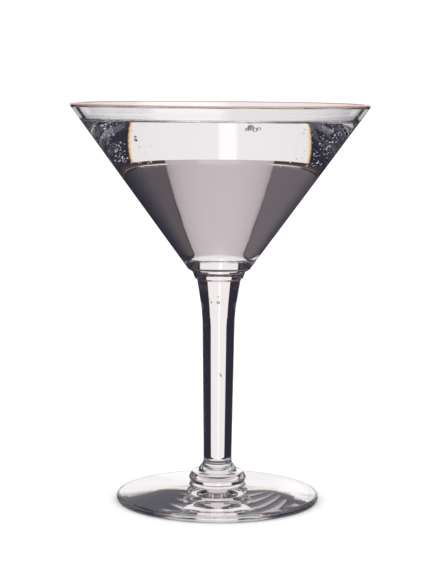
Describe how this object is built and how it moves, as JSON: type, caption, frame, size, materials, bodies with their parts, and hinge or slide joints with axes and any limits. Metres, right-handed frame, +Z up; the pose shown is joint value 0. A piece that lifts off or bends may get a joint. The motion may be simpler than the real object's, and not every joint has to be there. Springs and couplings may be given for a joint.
{
  "type": "martini cocktail",
  "caption": "Clear martini cocktail filling a stemmed cone glass almost to the lip: straight flared bowl, thick tapered stem with a collar, and a low round foot.",
  "frame": {"origin": "centre of the ring that the foot stands on, at table height", "axes": "+Z up along the axis of the glass; the object is a solid of revolution, so +X and +Y are free, and -Y is taken as the front"},
  "size_m": [0.116, 0.116, 0.1552],
  "materials": {
    "clear_glass": "polished clear soda-lime glass",
    "clear_drink": "clear, very faintly warm grey spirit with small air bubbles"
  },
  "bodies": {
    "root": {"glass": "clear_glass", "drink": "clear_drink"}
  },
  "joints": []
}
